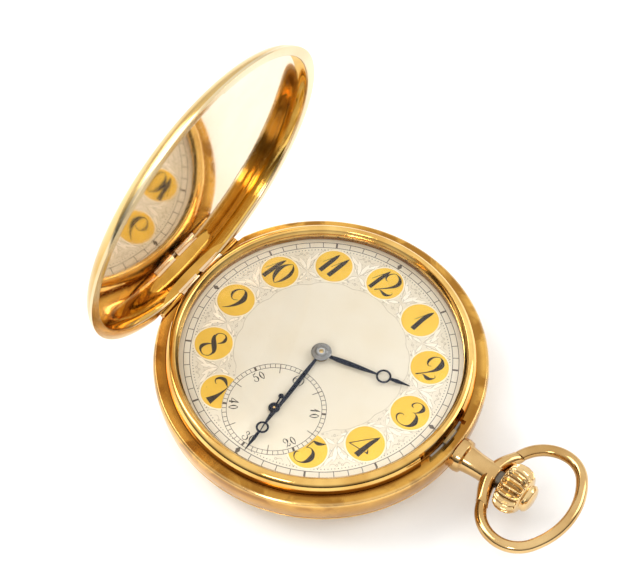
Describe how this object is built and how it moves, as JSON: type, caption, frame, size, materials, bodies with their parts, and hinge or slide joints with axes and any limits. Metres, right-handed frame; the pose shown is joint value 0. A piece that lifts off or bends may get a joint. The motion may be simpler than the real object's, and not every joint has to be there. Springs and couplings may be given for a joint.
{
  "type": "hunter pocket watch",
  "caption": "Gold hunter-case pocket watch with sprung front cover, small seconds, crown and bow at three o'clock, and a keyless lever movement.",
  "frame": {"origin": "centre of the flat rest face on the outside of the rear cover", "axes": "+X towards the crown at three o'clock, +Y towards twelve o'clock, +Z out through the dial"},
  "size_m": [0.0737, 0.052, 0.0586],
  "materials": {
    "yellow_gold": "polished 18 carat yellow gold",
    "rose_gold": "polished rose tinted gold",
    "steel": "polished steel",
    "blued_steel": "heat blued polished steel",
    "spring_steel": "grey tempered spring steel",
    "crystal_glass": "clear polished glass",
    "silvered_dial": "matt cream silvered metal with engraving",
    "gilt_disc": "satin gilt",
    "nickel_plate": "nickel plated with striped finish",
    "wheel_brass": "gilt brass",
    "ruby": "polished synthetic ruby"
  },
  "bodies": {
    "case": {"case_band": "yellow_gold", "pendant": "rose_gold", "bow_pivots": "rose_gold", "front_hinge_pin": "steel", "rear_hinge_pin": "steel", "cuvette_hinge_pin": "steel", "bezel": "yellow_gold", "crystal": "crystal_glass", "fly_spring": "spring_steel", "case_screws": "steel", "dial": "silvered_dial", "numeral_discs": "gilt_disc", "dial_screws": "steel", "mainplate": "nickel_plate", "barrel_bridge": "nickel_plate", "train_bridge": "nickel_plate", "balance_cock": "nickel_plate", "pallet_cock": "nickel_plate", "click_spring": "spring_steel", "hairspring": "spring_steel", "regulator": "steel", "jewels": "ruby", "bridge_screws": "blued_steel", "crown_wheel_screw": "steel"},
    "front_cover": {"front_cover": "yellow_gold"},
    "rear_cover": {"rear_cover": "yellow_gold"},
    "cuvette": {"cuvette": "yellow_gold"},
    "bow": {"bow": "rose_gold"},
    "push_sleeve": {"push_sleeve": "steel"},
    "crown": {"crown": "rose_gold", "winding_stem": "steel"},
    "winding_pinion": {"winding_pinion": "steel"},
    "sliding_pinion": {"sliding_pinion": "steel"},
    "lock_spring": {"lock_spring": "spring_steel"},
    "click": {"click": "steel"},
    "ratchet": {"ratchet_wheel": "steel", "barrel_arbor": "steel", "ratchet_screw": "steel"},
    "crown_wheel": {"crown_wheel": "steel"},
    "seconds": {"fourth_wheel": "wheel_brass", "seconds_hand": "blued_steel"},
    "third_wheel": {"third_wheel": "wheel_brass"},
    "minutes": {"center_wheel": "wheel_brass", "cannon_pinion": "steel", "minute_hand": "blued_steel", "minute_collet": "steel"},
    "barrel": {"barrel_drum": "wheel_brass", "barrel_lid": "wheel_brass", "mainspring": "spring_steel"},
    "minute_wheel": {"minute_wheel": "wheel_brass"},
    "hours": {"hour_wheel": "wheel_brass", "hour_hand": "blued_steel"},
    "setting_wheel": {"setting_wheel": "steel"},
    "escape_wheel": {"escape_wheel": "steel"},
    "pallets": {"pallet_fork": "steel", "pallet_stones": "ruby"},
    "balance": {"balance_wheel": "wheel_brass", "balance_staff": "steel"},
    "setting_lever": {"setting_lever": "steel"},
    "yoke": {"yoke": "steel"}
  },
  "joints": [
    {"name": "front_cover_hinge", "type": "hinge", "parent": "case", "child": "front_cover", "pos_m": [-0.0242, 0, 0.00875], "axis": [0, 1, 0], "range_deg": [0, 83]},
    {"name": "rear_cover_hinge", "type": "hinge", "parent": "case", "child": "rear_cover", "pos_m": [-0.0252, 0, 0.004], "axis": [0, 1, 0], "range_deg": [0, 100]},
    {"name": "cuvette_hinge", "type": "hinge", "parent": "case", "child": "cuvette", "pos_m": [-0.0236, 0, 0.0033], "axis": [0, 1, 0], "range_deg": [0, 56]},
    {"name": "bow_swing", "type": "hinge", "parent": "case", "child": "bow", "pos_m": [0.0336, 0, 0.00651], "axis": [0, -1, 0], "range_deg": [-95, 80]},
    {"name": "crown_push_pull", "type": "slide", "parent": "case", "child": "push_sleeve", "axis": [1, 0, 0], "range_m": [-0.0003, 0.001]},
    {"name": "crown_turn", "type": "hinge", "parent": "push_sleeve", "child": "crown", "pos_m": [0.03, 0, 0.0066], "axis": [1, 0, 0], "continuous": true},
    {"name": "winding_pinion_turn", "type": "hinge", "parent": "case", "child": "winding_pinion", "pos_m": [0.01415, 0, 0.0066], "axis": [1, 0, 0], "continuous": true},
    {"name": "sliding_pinion_shift", "type": "slide", "parent": "crown", "child": "sliding_pinion", "axis": [1, 0, 0], "range_m": [-0.0018, 0.001]},
    {"name": "lock_spring_flex", "type": "slide", "parent": "case", "child": "lock_spring", "axis": [1, 0, 0], "range_m": [-0.00035, 0], "stiffness_N_per_m": 800},
    {"name": "click_pivot", "type": "hinge", "parent": "case", "child": "click", "pos_m": [0.0176, 0.009, 0.0036], "axis": [0, 0, 1], "range_deg": [0, 8], "stiffness_Nm_per_rad": 0.001},
    {"name": "crown_wheel_turn", "type": "hinge", "parent": "case", "child": "crown_wheel", "pos_m": [0.01115, 0, 0.0036], "axis": [0, 0, 1], "continuous": true},
    {"name": "ratchet_turn", "type": "hinge", "parent": "case", "child": "ratchet", "pos_m": [0.00516, 0.00737, 0.0036], "axis": [0, 0, 1], "continuous": true},
    {"name": "seconds_turn", "type": "hinge", "parent": "case", "child": "seconds", "pos_m": [0, -0.01192, 0.0056], "axis": [0, 0, -1], "continuous": true},
    {"name": "third_wheel_turn", "type": "hinge", "parent": "case", "child": "third_wheel", "pos_m": [0.00296, -0.00656, 0.0062], "axis": [0, 0, -1], "continuous": true},
    {"name": "minutes_turn", "type": "hinge", "parent": "case", "child": "minutes", "pos_m": [0, 0, 0.007], "axis": [0, 0, -1], "continuous": true},
    {"name": "barrel_turn", "type": "hinge", "parent": "case", "child": "barrel", "pos_m": [0.00516, 0.00737, 0.0064], "axis": [0, 0, -1], "continuous": true},
    {"name": "minute_wheel_turn", "type": "hinge", "parent": "case", "child": "minute_wheel", "pos_m": [0.0036, 0, 0.0078], "axis": [0, 0, -1], "continuous": true},
    {"name": "hours_turn", "type": "hinge", "parent": "case", "child": "hours", "pos_m": [0, 0, 0.0082], "axis": [0, 0, -1], "continuous": true},
    {"name": "setting_wheel_turn", "type": "hinge", "parent": "case", "child": "setting_wheel", "pos_m": [0.0084, 0, 0.0078], "axis": [0, 0, -1], "continuous": true},
    {"name": "escape_wheel_turn", "type": "hinge", "parent": "case", "child": "escape_wheel", "pos_m": [-0.00553, -0.01044, 0.0064], "axis": [0, 0, -1], "continuous": true},
    {"name": "pallet_rock", "type": "hinge", "parent": "case", "child": "pallets", "pos_m": [-0.00813, -0.0084, 0.0064], "axis": [0, 0, 1], "range_deg": [-4, 4]},
    {"name": "balance_swing", "type": "hinge", "parent": "case", "child": "balance", "pos_m": [-0.0131, -0.0045, 0.0052], "axis": [0, 0, 1], "range_deg": [-270, 270]},
    {"name": "setting_lever_pivot", "type": "hinge", "parent": "case", "child": "setting_lever", "pos_m": [0.0186, -0.0054, 0.008], "axis": [0, 0, 1], "range_deg": [-13, 7]},
    {"name": "yoke_pivot", "type": "hinge", "parent": "case", "child": "yoke", "pos_m": [0.014, -0.0054, 0.008], "axis": [0, 0, 1], "range_deg": [-5, 9]}
  ],
  "couplings": [
    {"joint": "cuvette_hinge", "follows": "rear_cover_hinge", "ratio": 0.55},
    {"joint": "winding_pinion_turn", "follows": "crown_turn", "ratio": 1},
    {"joint": "crown_wheel_turn", "follows": "crown_turn", "ratio": 0.59259},
    {"joint": "ratchet_turn", "follows": "crown_turn", "ratio": -0.41344},
    {"joint": "sliding_pinion_shift", "follows": "crown_push_pull", "ratio": -1.6},
    {"joint": "setting_lever_pivot", "follows": "crown_push_pull", "rad_per_m": -212},
    {"joint": "yoke_pivot", "follows": "crown_push_pull", "rad_per_m": 139.5},
    {"joint": "third_wheel_turn", "follows": "seconds_turn", "ratio": -0.13333},
    {"joint": "minutes_turn", "follows": "seconds_turn", "ratio": 0.016667},
    {"joint": "barrel_turn", "follows": "seconds_turn", "ratio": -0.0020833},
    {"joint": "minute_wheel_turn", "follows": "seconds_turn", "ratio": -0.0055556},
    {"joint": "hours_turn", "follows": "seconds_turn", "ratio": 0.0013889},
    {"joint": "setting_wheel_turn", "follows": "seconds_turn", "ratio": 0.0071429},
    {"joint": "escape_wheel_turn", "follows": "seconds_turn", "ratio": -10}
  ]
}
